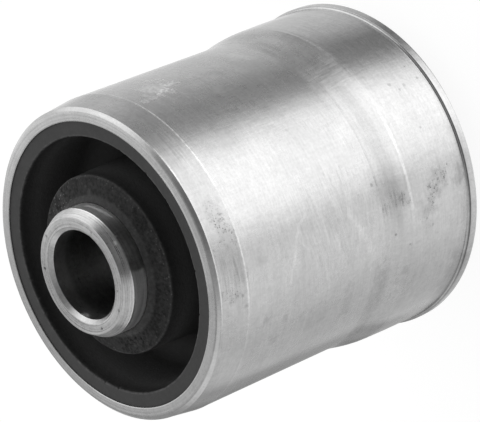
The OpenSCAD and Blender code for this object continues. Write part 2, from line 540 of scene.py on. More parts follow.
# %% Build the group for places on a turned piece
turned_place, _, results = new_group(
    "turned_place", {}, ["Cosine", "Sine", "Along", "Radius", "End", "Height"])
position = add(turned_place, "ShaderNodeSeparateXYZ",
               {0: add(turned_place, "ShaderNodeTexCoord").outputs["Object"]}).outputs
squares = calc(turned_place, "ADD", times(turned_place, position["X"], position["X"]),
               times(turned_place, position["Y"], position["Y"]))
radius = calc(turned_place, "SQRT", squares)
from_middle = calc(turned_place, "ABSOLUTE", calc(turned_place, "SUBTRACT", position["Z"], middle_z * MM))
for socket, value in {
    "Cosine": calc(turned_place, "DIVIDE", position["X"], radius),
    "Sine": calc(turned_place, "DIVIDE", position["Y"], radius),
    "Along": calc(turned_place, "SUBTRACT", from_middle, radius),
    "Radius": radius,
    "End": calc(turned_place, "SUBTRACT", (rim_z - middle_z) * MM, from_middle),
    "Height": position["Z"],
}.items():
    turned_place.links.new(value, results[socket])

# %% [markdown]
# ## Turning marks
# All the marks of a lathe run round the axis, and a plain noise texture has no such direction. Noise
# on the cosine, the sine and the distance along the outline closes on itself all round. A high number
# along the outline and a low one round it stretch the noise into fine rings. A tilt makes rings that
# slant, as a cloth or a hand leaves them.

# %% Build the group for turning marks
turning_marks, given, results = new_group(
    "turning_marks", {"Rings per mm": 3.0, "Pieces round": 4.0, "Roughness": 0.6, "Tilt X mm": 0.0,
                      "Tilt Y mm": 0.0}, ["Marks"])
spot = use_group(turning_marks, turned_place)
tilt = calc(turning_marks, "ADD", times(turning_marks, spot["Cosine"], given["Tilt X mm"]),
            times(turning_marks, spot["Sine"], given["Tilt Y mm"]))
height = calc(turning_marks, "ADD", spot["Along"], times(turning_marks, tilt, MM))
vector = add(turning_marks, "ShaderNodeCombineXYZ", {
    "X": times(turning_marks, spot["Cosine"], given["Pieces round"]),
    "Y": times(turning_marks, spot["Sine"], given["Pieces round"]),
    "Z": times(turning_marks, height, calc(turning_marks, "DIVIDE", given["Rings per mm"], MM)),
}).outputs[0]
marks = add(turning_marks, "ShaderNodeTexNoise", {
    "Vector": vector, "Scale": 1.0, "Detail": 3.0, "Roughness": given["Roughness"]})
turning_marks.links.new(marks.outputs["Fac"], results["Marks"])

# %% [markdown]
# ## Clouds and specks
# Two more groups serve both the steel and the rubber. Clouds are soft patches all over, such as where
# a hand or oil has dulled the metal. Specks are small dark pits that only a few cells of a Voronoi
# texture keep.

# %% Build the clouds group
clouds, given, results = new_group(
    "clouds", {"Size mm": 8.0, "Detail": 4.0, "Low": 0.35, "High": 0.65, "Seed": 0.0}, ["Clouds"])
place = add(clouds, "ShaderNodeTexCoord").outputs["Object"]
texture = add(clouds, "ShaderNodeTexNoise", {
    "Vector": place, "W": given["Seed"], "Scale": calc(clouds, "DIVIDE", 1 / MM, given["Size mm"]),
    "Detail": given["Detail"], "Roughness": 0.55}, noise_dimensions="4D")
clouds.links.new(remap(clouds, texture.outputs["Fac"], given["Low"], given["High"]), results["Clouds"])

# %% Build the specks group
specks, given, results = new_group(
    "specks", {"Spacing mm": 1.2, "Size": 0.3, "Share": 0.2, "Seed": 0.0}, ["Specks"])
place = add(specks, "ShaderNodeTexCoord").outputs["Object"]
moved = vector_math(specks, "ADD", place, given["Seed"], "Vector")
cells = add(specks, "ShaderNodeTexVoronoi", {
    "Vector": moved, "Scale": calc(specks, "DIVIDE", 1 / MM, given["Spacing mm"])})
near = remap(specks, cells.outputs["Distance"], given["Size"], times(specks, given["Size"], 0.5))
chance = add(specks, "ShaderNodeSeparateColor", {"Color": cells.outputs["Color"]}).outputs[0]
kept = calc(specks, "LESS_THAN", chance, given["Share"])
specks.links.new(times(specks, near, kept), results["Specks"])

# %% [markdown]
# ## Patches and streaks
# A patch is a soft-edged spot at one place, and a streak is a short straight line between two places,
# so a mark can sit where the real part has it. Both take the total of the marks before them and hand
# on a new one, which lets a list of marks be a chain. The noise that they are given bends their edge.

# %% Build the patch group
patch, given, results = new_group(
    "patch", {"Before": 0.0, "Place": (0.0, 0.0, 0.0), "Reach mm": 3.0, "Core": 0.4, "Ragged": 0.8,
              "Noise": 0.5, "Strength": 1.0}, ["Total"])
place = add(patch, "ShaderNodeTexCoord").outputs["Object"]
apart = vector_math(patch, "DISTANCE", place, given["Place"], "Value")
share = calc(patch, "DIVIDE", apart, times(patch, given["Reach mm"], MM))
bend = times(patch, calc(patch, "SUBTRACT", given["Noise"], 0.5), given["Ragged"])
mask = remap(patch, calc(patch, "ADD", share, bend), 1.0, given["Core"])
total = calc(patch, "ADD", given["Before"], times(patch, mask, given["Strength"]))
patch.links.new(total, results["Total"])

# %% Build the streak group
streak, given, results = new_group(
    "streak", {"Before": 0.0, "From": (0.0, 0.0, 0.0), "To": (0.0, 0.0, 1.0), "Width mm": 0.5,
               "Ragged": 0.8, "Noise": 0.5}, ["Total"])
place = add(streak, "ShaderNodeTexCoord").outputs["Object"]
line = vector_math(streak, "SUBTRACT", given["To"], given["From"], "Vector")
reach = vector_math(streak, "SUBTRACT", place, given["From"], "Vector")
length = vector_math(streak, "DOT_PRODUCT", line, line, "Value")
along = vector_math(streak, "DOT_PRODUCT", reach, line, "Value")
share = calc(streak, "DIVIDE", along, length, clamp=True)
foot = add(streak, "ShaderNodeVectorMath", {0: line, "Scale": share}, operation="SCALE").outputs["Vector"]
apart = vector_math(streak, "DISTANCE", reach, foot, "Value")
wide = calc(streak, "DIVIDE", apart, times(streak, given["Width mm"], MM))
bend = times(streak, calc(streak, "SUBTRACT", given["Noise"], 0.5), given["Ragged"])
mask = remap(streak, calc(streak, "ADD", wide, bend), 1.0, 0.2)
streak.links.new(calc(streak, "MAXIMUM", given["Before"], mask), results["Total"])

# %% [markdown]
# ## Turned steel
# Turned steel looks different along the axis and round it: the fine rings throw light up and down the
# axis, and keep it narrow round the part. The Principled shader does this with its anisotropy, whose
# tangent runs round Z and is then turned by a quarter. The grey colour, the roughness and the height
# of the marks are each a sum of parts, so a small helper adds up such a list.

# %% Define a steel that both turned pieces share
MARK_DEPTH = 0.010


def grey(tree, value):
    """Turns a number into a grey colour."""
    return add(tree, "ShaderNodeCombineColor", {0: value, 1: value, 2: value}).outputs[0]


def sum_of(tree, start, *parts):
    """Adds up (value, middle, weight) parts, each as (value - middle) * weight, from a start value."""
    total = start
    for value, middle, weight in parts:
        shifted = calc(tree, "SUBTRACT", value, middle)
        total = calc(tree, "ADD", total, times(tree, shifted, weight))
    return total


def turned_steel(tree, output, colour, roughness, height, anisotropic):
    """The Principled shader of turned steel."""
    bump = add(tree, "ShaderNodeBump", {"Strength": 1.0, "Distance": MARK_DEPTH * MM, "Height": height})
    tangent = add(tree, "ShaderNodeTangent", direction_type="RADIAL", axis="Z")
    shader = add(tree, "ShaderNodeBsdfPrincipled", {
        "Base Color": grey(tree, colour), "Metallic": 1.0, "Roughness": roughness,
        "Anisotropic": anisotropic, "Anisotropic Rotation": 0.25,
        "Tangent": tangent.outputs[0], "Normal": bump.outputs[0]})
    tree.links.new(shader.outputs[0], output.inputs["Surface"])
    print("steel with", len(tree.nodes), "nodes")


# %% [markdown]
# ## Marks at their places
# The bush was handled, pressed and cleaned, and each trace of that sits at one place. Some marks are
# painted light and shade instead: painted shade in corners, in bands and beside the lip, painted
# highlights along burrs and edges, and painted reflections. A list gives a mark as the angle round the
# axis in degrees, then the radius and the height in millimetres, how far the patch reaches, how much of
# it is at full strength, and that strength. A line is a list of (angle, height) points on one radius.
# The patch and streak groups then make a mask of each list. An edge noise of a half leaves a patch with
# an even edge, and clouds in its place make the edge ragged.

# %% Define how marks are placed
EVEN = 0.5


def at(angle, radius, height):
    """A place on the part, in metres, from its angle in degrees, radius and height in millimetres."""
    turned = math.radians(angle)
    return (math.cos(turned) * radius * MM, math.sin(turned) * radius * MM, height * MM)


def place_patches(tree, rows, noise=EVEN):
    """Adds up the patches of a list of places."""
    total = 0.0
    for angle, radius, height, reach, core, strength in rows:
        total = use_group(tree, patch, Before=total, Place=at(angle, radius, height), Reach_mm=reach,
                          Core=core, Noise=noise, Strength=strength)["Total"]
    return total


def place_streak(tree, points, radius, width, noise=EVEN, ragged=0.8):
    """The mask of a bent line through (angle, height) points."""
    total = 0.0
    for (angle, height), (next_angle, next_height) in zip(points, points[1:]):
        total = use_group(tree, streak, Before=total, From=at(angle, radius, height),
                          To=at(next_angle, radius, next_height), Width_mm=width, Noise=noise,
                          Ragged=ragged)["Total"]
    return total


def ring_line(tree, height, middle_mm, half_width_mm):
    """The mask of a thin line round the part at one height."""
    apart = calc(tree, "ABSOLUTE", calc(tree, "SUBTRACT", height, middle_mm * MM))
    return ramp_mm(tree, apart, half_width_mm, half_width_mm * 0.4)


# %% List the spots on the sleeve, with painted shade and light among them
# Most rows are real stains. Some wider rows are painted shade: beside the lip at 9.3 mm, and on the seat at
# 14.5 and 17.5 mm.
STAINS_AND_SHADE = [  # angle, radius, height, reach, core, strength
    (-99, 29.2, 67.3, 0.4, 0.3, 1.0), (-101, 29.2, 67.3, 0.3, 0.3, 0.7),
    (-117.5, 29.6, 63.2, 0.45, 0.3, 0.9), (-121.5, 29.7, 62.6, 0.5, 0.3, 0.7),
    (-54.5, 29.6, 63.2, 0.3, 0.3, 0.9), (-69.5, 30.85, 16.0, 0.5, 0.2, 0.5),
    (-72.5, 30.85, 14.6, 0.4, 0.2, 0.6), (-87, 30.85, 14.7, 0.45, 0.2, 0.7),
    (-71.5, 30.85, 13.0, 0.4, 0.2, 0.5), (-105.8, 30.85, 13.0, 0.4, 0.3, 1.4),
    (-106.8, 30.85, 16.9, 0.4, 0.2, 0.9), (-109, 30.85, 15.3, 0.35, 0.2, 0.7),
    (-112.5, 30.85, 16.5, 0.3, 0.2, 0.7), (-99, 29.7, 29.5, 0.4, 0.3, 0.8),
    (-118.7, 30.2, 26.0, 0.35, 0.3, 1.3), (-123.8, 30.85, 22.8, 0.35, 0.3, 0.9),
    (-116.5, 30.85, 20.1, 0.3, 0.2, 0.8), (-117, 30.85, 18.5, 0.3, 0.2, 0.7),
    (-120, 30.85, 17.0, 0.3, 0.2, 0.7), (-70.9, 30.85, 9.3, 0.3, 0.2, 0.7),
    (-65.4, 30.85, 10.1, 0.3, 0.2, 0.7), (-131, 29.7, 57.5, 1.6, 0.2, 0.4),
    (-141, 29.7, 55.0, 1.8, 0.3, 0.4), (-132.5, 29.7, 52.8, 1.2, 0.3, 0.4),
    (-108.4, 29.7, 57.6, 1.6, 0.2, 0.25), (-60, 29.7, 28.8, 2.6, 0.1, 0.35),
    (-134, 30.6, 23.5, 1.2, 0.2, 0.4), (-112, 30.85, 17.5, 3.0, 0.1, 0.3),
    (-106, 30.85, 14.5, 3.0, 0.1, 0.25), (-35, 29.7, 42.5, 2.4, 0.1, 0.3),
    (-138, 29.7, 45.0, 4.0, 0.2, 0.25), (-106, 30.85, 9.3, 2.2, 0.2, 0.5),
    (-97.2, 29.7, 32.0, 0.35, 0.3, 0.6), (-100.3, 29.7, 33.0, 0.3, 0.3, 0.5),
    (-109.3, 30.85, 16.1, 0.3, 0.3, 0.5), (-105.3, 30.85, 14.6, 0.3, 0.3, 0.6),
    (-103.7, 30.85, 12.9, 0.3, 0.3, 0.7), (-101.8, 30.85, 11.6, 0.3, 0.3, 0.8),
]
# Pale spots: partly paler metal, partly painted light. The rows at 17 to 19 mm on the seat and the strong row
# at -166 degrees are painted reflections.
PALE_AND_LIT = [
    (-31, 29.7, 55.0, 3.8, 0.5, 0.9), (-38, 30.85, 16.0, 1.6, 0.2, 0.6), (-29, 29.7, 34.5, 2.8, 0.2, 1.4),
    (-34, 29.7, 33.0, 1.8, 0.2, 1.3), (-39, 29.7, 38.4, 1.6, 0.2, 0.9),
    (-36.5, 29.7, 44.0, 1.6, 0.2, 0.9), (-37.5, 29.7, 48.5, 1.5, 0.2, 0.9),
    (-31, 29.7, 47.0, 1.4, 0.2, 1.0), (-45, 29.7, 46.5, 1.5, 0.2, 0.7), (-90, 30.85, 17.5, 3.4, 0.5, 0.6),
    (-98, 30.85, 17.2, 2.6, 0.5, 0.7), (-82, 30.85, 18.7, 1.8, 0.4, 0.5),
    (-166, 30.85, 13.0, 4.6, 0.5, 3.2), (-147, 29.4, 65.0, 7.0, 0.3, 1.2),
]
SPECKLED = [
    (-111, 29.4, 64.4, 3.4, 0.5, 0.7), (-115.5, 29.3, 65.8, 1.9, 0.5, 0.9),
    (-94.5, 29.4, 64.2, 3.2, 0.3, 1.4), (-87, 29.4, 65.2, 3.4, 0.2, 1.4),
    (-105, 30.85, 13.6, 2.6, 0.4, 1.3), (-110, 30.85, 16.4, 2.8, 0.4, 1.3),
    (-118, 30.85, 19.0, 2.4, 0.3, 0.8), (-97, 29.4, 63.4, 2.0, 0.4, 0.9),
    (-29, 29.7, 55.0, 3.6, 0.4, 0.7), (-31, 29.7, 34.0, 4.0, 0.2, 0.5), (-118, 27.2, 68.5, 4.0, 0.3, 0.8),
    (-150, 27.0, 68.5, 5.0, 0.3, 0.8), (-20, 27.4, 68.5, 5.0, 0.3, 0.6),
    (-140, 30.85, 22.5, 5.0, 0.2, 0.7), (-135, 30.85, 11.0, 3.0, 0.2, 0.5),
]
print("spots on the sleeve:", len(STAINS_AND_SHADE), "dark,", len(PALE_AND_LIT), "pale,", len(SPECKLED), "speckled")

# %% List the rubbed and brushed places on the sleeve, and its painted shade and light
RUBBED = [(-104, 29.7, 42.0, 15.0, 0.2, 1.0)]
BRUSHED = [(-56, 29.9, 25.0, 5.0, 0.4, 1.0), (-58, 29.7, 45.0, 8.0, 0.2, 0.4)]
RUFFLED = [
    (-31.0, 29.7, 55.0, 3.4, 0.6, 1.0), (-30, 29.7, 34.3, 3.4, 0.3, 0.6), (-141, 30.5, 23.5, 4.5, 0.3, 0.4),
]
COARSE_RINGS = [(-58, 29.3, 65.5, 5.5, 0.4, 0.5), (-111, 29.3, 65.0, 5.0, 0.3, 0.8)]
CONE_DIRT = [
    (-105.0, 30.2, 25.0, 4.6, 0.1, 0.2), (-107.3, 30.3, 24.8, 2.2, 0.4, 0.5),
    (-108.0, 30.4, 23.2, 1.6, 0.4, 0.7), (-108.0, 29.9, 27.4, 1.6, 0.4, 0.5),
]
CONE_DIRT_LOW = 21.9
CONE_DIRT_HIGH = 28.4
CONE_END = [(-90, 29.7, 28.4, 14.0, 0.4, 1.0)]
# Painted shade in two bands round the cone's concave round.
FIRST_SHADE_BAND = [(-146, 29.7, 29.0, 12.0, 0.4, 1.0)]
SECOND_SHADE_BAND = [(-139, 29.7, 36.8, 7.0, 0.2, 0.8)]
# Painted shade in the corner between the seat and the lip.
LIP_CORNER_SHADE = [(-125, 30.85, 7.7, 22.0, 0.4, 1.0)]
# Painted shade on the rim's chamfer at -86 degrees, and painted light at -130, where the strength is
# negative.
RIM_SHADE_AND_LIGHT = [(-86, 28.6, 68.2, 9.0, 0.4, 1.0), (-130, 28.6, 68.2, 9.0, 0.4, -1.1)]
# A painted glint along the rim's inner edge.
RIM_GLINT = [(-85, 26.8, 68.5, 16.0, 0.4, 1.0)]

# %% List the painted highlights along the sleeve's burrs
# Painted highlights along the three burrs, strongest where each burr would catch the light.
LEAD_BURR_LIGHT = [(-58, 29.7, 62.0, 13.0, 0.4, 0.75), (-108, 29.7, 62.0, 9.0, 0.3, 0.35)]
SEAT_BURR_LIGHT = [
    (-98, 30.85, 22.0, 13.0, 0.4, 0.27), (-45, 30.85, 22.0, 6.0, 0.3, 0.3),
    (-72, 30.85, 22.0, 12.0, 0.4, 0.1),
]
RIM_BURR_LIGHT = [(-64, 29.0, 67.8, 6.5, 0.3, 0.6), (-112, 29.0, 67.8, 9.0, 0.4, 0.3)]

# %% List the lines on the sleeve, with painted shade along the lip
WRINKLE = [(-36.5, 60.6), (-37.0, 58.4), (-35.2, 55.4), (-33.0, 52.8), (-31.2, 50.6)]
WRINKLE_TOP = [(-20.8, 54.3), (-23.2, 52.5), (-25.4, 51.2), (-31.0, 51.2)]
FAINT_STREAK = [(-99.5, 46.0), (-101.5, 48.0), (-106, 49.3), (-112, 50.4), (-116, 51.4), (-120, 51.9)]
FAINT_TAIL = [(-107.5, 48.6), (-111, 47.2)]
COMBED = [(-104.5, 36.6), (-109, 35.0), (-115, 33.2), (-121, 31.9)]
SPECKLE_TRAIL = [(-100.0, 10.6), (-102.8, 12.2), (-105.4, 14.4), (-108.4, 16.6), (-112.4, 16.9)]
CONE_STROKE = [(-96.6, 28.45), (-99.6, 28.35)]
# Painted shade: the seat darkens towards the lip along these two lines.
LIP_SHADE = [(-91, 7.6), (-104, 8.4), (-118, 8.0), (-134, 8.2)]
LIP_PAINTED_SHADE = [(-140, 8.4), (-150, 9.0), (-168, 9.4)]

# %% [markdown]
# ## The sleeve's steel
# The sleeve was turned in one pass, so rings of several widths lie over each other, and a few are
# tilted where a cloth wiped it. Over them come grain, dull clouds, and the marks of the lists above.
# They are laid in four short cells: textures, spots and scratches, painted highlights on burrs and
# painted shade and light on edges, and the sum.
# One shader has room for only so many values at a time, so a mark that hardly shows is left out.

# %% Lay the textures of the sleeve's steel
sleeve_steel, tree, output = new_material("turned_sleeve_steel")
fine = use_group(tree, turning_marks, Rings_per_mm=2.4, Pieces_round=5.0, Roughness=0.65)["Marks"]
wide = use_group(tree, turning_marks, Rings_per_mm=0.5, Pieces_round=3.0)["Marks"]
flow = use_group(tree, turning_marks, Rings_per_mm=1.2, Pieces_round=16.0, Roughness=0.7)["Marks"]
wave = use_group(tree, turning_marks, Rings_per_mm=0.12, Pieces_round=20.0, Roughness=0.6)["Marks"]
hair = use_group(tree, turning_marks, Rings_per_mm=0.35, Pieces_round=60.0)["Marks"]
bent = use_group(tree, turning_marks, Rings_per_mm=2.0, Pieces_round=3.0, Roughness=0.8,
                 Tilt_X_mm=-1.4, Tilt_Y_mm=16.0)["Marks"]
dull = use_group(tree, clouds, Size_mm=9.0, Low=0.4, High=0.62)["Clouds"]
small = use_group(tree, clouds, Size_mm=1.6, Low=0.3, High=0.7, Seed=4.0)["Clouds"]
grain = use_group(tree, clouds, Size_mm=0.5, Low=0.25, High=0.75, Seed=2.0)["Clouds"]
pits = use_group(tree, specks, Spacing_mm=0.34, Size=0.42, Share=0.38)["Specks"]
spot = use_group(tree, turned_place)
on_seat = ramp_mm(tree, spot["Radius"], seat_r - 0.25, seat_r - 0.05)
on_side = ramp_mm(tree, spot["Height"], rim_z - 0.75, rim_z - 0.9)

# %% Lay the spots, the scratches and the painted shade and light
# Dark spots: real stains, with painted shade among them.
stains_and_painted_shade = place_patches(tree, STAINS_AND_SHADE, small)
# Pale spots, with painted light and painted reflections among them.
pale_and_painted_light = place_patches(tree, PALE_AND_LIT, small)
rubbed = place_patches(tree, RUBBED, small)
brushed = place_patches(tree, BRUSHED, small)
speckled = place_patches(tree, SPECKLED, small)
ruffled = place_patches(tree, RUFFLED, small)
wrinkle = calc(tree, "MAXIMUM", place_streak(tree, WRINKLE, body_r, 1.0, small, 1.5),
               place_streak(tree, WRINKLE_TOP, body_r, 0.5, small, 1.6))
faint = calc(tree, "MAXIMUM", place_streak(tree, FAINT_STREAK, body_r, 0.5, small),
             place_streak(tree, FAINT_TAIL, body_r, 0.3, small))
stroke = place_streak(tree, CONE_STROKE, body_r, 0.25)
# Painted shade on the seat beside the lip.
lip_painted_shade = sum_of(tree, 0.0, (place_streak(tree, LIP_PAINTED_SHADE, seat_r, 3.6, small, 0.3), 0.0, 0.8),
                  (place_streak(tree, LIP_SHADE, seat_r, 2.2, small, 0.3), 0.0, 0.35))
cone_band = times(tree, ramp_mm(tree, spot["Height"], CONE_DIRT_LOW - 0.1, CONE_DIRT_LOW),
                  ramp_mm(tree, spot["Height"], CONE_DIRT_HIGH + 0.1, CONE_DIRT_HIGH))
cone_dirt = times(tree, cone_band, place_patches(tree, CONE_DIRT, small))
# Painted shade in two bands round the cone's concave round.
shade_bands = calc(
    tree, "ADD",
    times(tree, ring_line(tree, spot["Height"], 29.0, 2.4), place_patches(tree, FIRST_SHADE_BAND, small)),
    times(tree, ring_line(tree, spot["Height"], 36.8, 1.6), place_patches(tree, SECOND_SHADE_BAND, small)))
scratched = times(tree, calc(tree, "SUBTRACT", bent, 0.5), rubbed)
columns = times(tree, calc(tree, "SUBTRACT", hair, 0.5), brushed)
ringed = times(tree, calc(tree, "SUBTRACT", fine, 0.5),
               calc(tree, "ADD", cone_dirt, place_patches(tree, COARSE_RINGS, small)))
flecks = remap(tree, grain, 0.5, 0.8)
trail = place_streak(tree, SPECKLE_TRAIL, seat_r, 1.5, small)
dots = times(tree, sum_of(tree, 0.0, (speckled, 0.0, 1.0), (cone_dirt, 0.0, 1.8), (trail, 0.0, 0.7)),
             sum_of(tree, 0.1, (pits, 0.0, 0.9), (flecks, 0.0, 0.4)))
lines = times(tree, calc(tree, "ADD", wrinkle, times(tree, ruffled, 0.9)),
              remap(tree, grain, 0.35, 0.65, 0.1, 1.0))
combed = times(tree, place_streak(tree, COMBED, body_r, 1.1, small), remap(tree, bent, 0.4, 0.6))

# %% Lay the painted highlights on the burrs and the painted shade and light on the edges
chamfer_z = rim_z - RIM_CHAMFER
# Painted highlights on the three burrs, besides their raised edge in the mesh.
lead_burr_highlight = times(tree, ring_line(tree, spot["Height"], lead_z, 0.26),
                  sum_of(tree, 0.12, (place_patches(tree, LEAD_BURR_LIGHT), 0.0, 1.0)))
seat_burr_highlight = times(tree, ring_line(tree, spot["Height"], SEAT_BURR_Z - 0.2, 0.45),
                       place_patches(tree, SEAT_BURR_LIGHT))
rim_burr_highlight = times(tree, ring_line(tree, spot["Height"], chamfer_z - 0.1, 0.24),
                 place_patches(tree, RIM_BURR_LIGHT))
burr_highlight = times(tree, calc(tree, "MAXIMUM", rim_burr_highlight, calc(tree, "MAXIMUM", lead_burr_highlight, seat_burr_highlight)),
             remap(tree, grain, 0.2, 0.7, 0.55, 1.0))
cone_line = times(tree, ring_line(tree, spot["Height"], CONE_DIRT_HIGH, 0.22), place_patches(tree, CONE_END))
# Painted shade in the corner between the seat and the lip.
lip_corner_painted_shade = times(tree, ring_line(tree, spot["Height"], lip_top_z + 0.1, 0.6),
                    place_patches(tree, LIP_CORNER_SHADE))
on_rim_chamfer = times(tree, ramp_mm(tree, spot["Height"], chamfer_z, chamfer_z + 0.15),
                       ramp_mm(tree, spot["Height"], rim_z - 0.03, rim_z - 0.15))
# Painted shade and painted light on the rim's chamfer.
rim_painted_shade_and_light = times(tree, on_rim_chamfer, place_patches(tree, RIM_SHADE_AND_LIGHT))
# A painted glint along the rim's inner edge.
rim_edge_glint = times(tree, ramp_mm(tree, spot["Radius"], sleeve_bore_r + 0.7, sleeve_bore_r + 0.45),
                 place_patches(tree, RIM_GLINT))

# %% Add up the sleeve's colour, roughness and height
SLEEVE_GREY = 0.56
SLEEVE_ROUGHNESS = 0.27
SLEEVE_ANISOTROPY = 0.5
colour = sum_of(
    tree, SLEEVE_GREY, (dull, 0.5, -0.02), (small, 0.5, 0.03), (wide, 0.5, 0.05), (fine, 0.5, 0.14),
    (flow, 0.5, 0.10), (hair, 0.5, 0.08), (grain, 0.5, 0.065), (scratched, 0.0, 0.30),
    (columns, 0.0, 0.5), (ringed, 0.0, 0.5), (stains_and_painted_shade, 0.0, -0.16), (pale_and_painted_light, 0.0, 0.05), (dots, 0.0, -0.13),
    (cone_dirt, 0.0, -0.06), (lines, 0.0, 0.14), (faint, 0.0, 0.055), (stroke, 0.0, -0.12),
    (lip_painted_shade, 0.0, -0.13), (shade_bands, 0.0, -0.07), (burr_highlight, 0.0, 0.48), (cone_line, 0.0, -0.06),
    (lip_corner_painted_shade, 0.0, -0.03), (on_seat, 0.0, -0.02), (combed, 0.0, 0.08), (rim_painted_shade_and_light, 0.0, -0.12),
    (rim_edge_glint, 0.0, 0.14))
roughness = sum_of(
    tree, SLEEVE_ROUGHNESS, (dull, 0.5, 0.03), (small, 0.5, 0.02), (wide, 0.5, 0.04), (on_seat, 0.0, -0.05),
    (stains_and_painted_shade, 0.0, 0.1), (pale_and_painted_light, 0.0, 0.06), (dots, 0.0, 0.06), (lines, 0.0, 0.2), (burr_highlight, 0.0, 0.12))
marks = sum_of(
    tree, 0.0, (fine, 0.5, 0.45), (wide, 0.5, 0.3), (flow, 0.5, 0.2), (wave, 0.5, 2.0), (hair, 0.5, 0.1),
    (grain, 0.5, 0.1), (scratched, 0.0, 0.4), (dots, 0.0, -0.2), (lines, 0.0, 0.3))
height = calc(tree, "ADD", 0.5, times(tree, marks, sum_of(tree, 0.7, (on_side, 0.0, 0.3))))
turned_steel(tree, output, colour, roughness, height, SLEEVE_ANISOTROPY)

# %% [markdown]
# ## The tube's steel
# The tube's chamfer and face show the same rings as the sleeve, only coarser. In three places the cut is
# rougher and painted paler, a painted reflection of light that the rim and the rubber block. Its side
# was drawn, not turned: it is paler, and an oily film darkens it just below the chamfer, with one
# painted glint. The bore is smooth. It is clean at its mouth; from about 3 mm down it is darkened by
# painted shade, and further in painted light makes it a little paler again.

# %% List the marks on the tube, with painted light among them
TUBE_PITS = [
    (67.8, 10.0, 74.2, 0.35, 0.3, 1.0), (-50.5, 9.96, 74.2, 0.3, 0.3, 1.0), (179, 9.95, 74.2, 0.35, 0.3, 1.0),
    (-140.9, 10.3, 74.2, 0.3, 0.3, 0.8), (-120, 9.6, 74.2, 0.25, 0.3, 0.6), (30, 10.3, 74.2, 0.25, 0.3, 0.7),
]
# Real nicks, and at 145 degrees a painted glint on the bore's chamfer.
TUBE_NICKS_AND_GLINT = [
    (-74.8, 11.6, 72.9, 0.5, 0.4, 1.0), (-70, 11.9, 72.2, 0.35, 0.3, 0.7), (145, 8.4, 73.0, 1.4, 0.2, 0.7),
]
TUBE_FILM = [(-86, 11.9, 70.8, 4.1, 0.8, 1.0), (-68, 11.9, 70.8, 4.6, 0.1, 0.9)]
# Rougher places, also painted paler as a painted reflection.
TUBE_ROUGH_AND_LIT = [
    (10, 11.4, 73.3, 6.0, 0.4, 1.0), (-28, 8.8, 73.9, 5.0, 0.4, 1.0), (172, 11.4, 73.3, 5.0, 0.3, 0.6),
]
# A painted glint on the tube's side.
TUBE_GLINT = [(-22, 70.7), (-36, 70.5), (-50, 70.0)]

# %% Tell the tube's side, bore and ends apart
tube_steel, tree, output = new_material("tube_steel")
spot = use_group(tree, turned_place)
on_side = ramp_mm(tree, spot["Radius"], tube_r - 0.15, tube_r - 0.05)
in_bore = ramp_mm(tree, spot["Radius"], bolt_bore_r + 0.1, bolt_bore_r + 0.02)
on_wall = calc(tree, "ADD", on_side, in_bore)
# Painted shade darkens the bore from about 3 mm below its end, and painted light makes it paler further in.
bore_painted_shade = times(tree, in_bore, ramp_mm(tree, spot["End"], -2.8, -1.4))
far_bore_painted_light = times(tree, in_bore, ramp_mm(tree, spot["End"], 2.0, 8.0))
below_face = ramp_mm(tree, spot["Height"], tube_length - 0.02, tube_length - 0.12)
off_wall = times(tree, below_face, calc(tree, "SUBTRACT", 1.0, on_wall, clamp=True))

# %% Make the tube's steel
TUBE_GREY = 0.52
TUBE_ROUGHNESS = 0.29
TUBE_ANISOTROPY = 0.65
fine = use_group(tree, turning_marks, Rings_per_mm=3.2, Pieces_round=0.9, Roughness=0.5)["Marks"]
broad = use_group(tree, turning_marks, Rings_per_mm=1.5, Pieces_round=0.8, Roughness=0.5)["Marks"]
small = use_group(tree, clouds, Size_mm=0.9, Low=0.3, High=0.7, Seed=9.0)["Clouds"]
grain = use_group(tree, clouds, Size_mm=0.4, Low=0.25, High=0.75, Seed=5.0)["Clouds"]
film = times(tree, on_side, calc(tree, "MINIMUM", 1.0, place_patches(tree, TUBE_FILM)))
# A painted glint on the tube's side.
glint = place_streak(tree, TUBE_GLINT, tube_r, 0.45, small, 1.6)
# Rougher places, also painted paler as a painted reflection.
rough_cut_and_painted_light = times(tree, off_wall, place_patches(tree, TUBE_ROUGH_AND_LIT))
rings = times(tree, sum_of(tree, 0.0, (fine, 0.5, 0.6), (broad, 0.5, 0.4)),
              sum_of(tree, 1.0, (in_bore, 0.0, -0.8), (film, 0.0, -0.6)))
pits = place_patches(tree, TUBE_PITS, small)
# Nicks, with one painted glint among them.
nicks_and_glint = place_patches(tree, TUBE_NICKS_AND_GLINT, small)
colour = sum_of(
    tree, TUBE_GREY, (small, 0.5, 0.07), (grain, 0.5, 0.09), (rings, 0.0, 1.0), (pits, 0.0, -0.3),
    (nicks_and_glint, 0.0, 0.25), (on_side, 0.0, 0.29), (film, 0.0, -0.48), (glint, 0.0, 0.14),
    (bore_painted_shade, 0.0, -0.2), (far_bore_painted_light, 0.0, 0.1), (rough_cut_and_painted_light, 0.0, 0.2))
roughness = sum_of(
    tree, TUBE_ROUGHNESS, (small, 0.5, 0.03), (rings, 0.0, 0.2), (pits, 0.0, 0.2), (nicks_and_glint, 0.0, 0.25),
    (on_side, 0.0, 0.05), (glint, 0.0, 0.08), (rough_cut_and_painted_light, 0.0, 0.2))
marks = sum_of(tree, 0.0, (fine, 0.5, 0.3), (broad, 0.5, 0.3), (pits, 0.0, -0.4))
height = calc(tree, "ADD", 0.5, times(tree, marks, sum_of(tree, 1.0, (on_wall, 0.0, -0.95))))
turned_steel(tree, output, colour, roughness, height, TUBE_ANISOTROPY)

# %% [markdown]
# ## The rubber's finish
# Black rubber is nearly matt. The ring at the mouth was trimmed, so it is smoother and paler than the
# boss, whose face keeps the mottled print of its mould and is rough on two sides. A mask by radius
# tells the two apart. Down in the recess the rubber is painted a little paler: painted light that lifts
# the recess's shade. The boss's rounded edge and the skin's inner edge carry thin painted highlights.

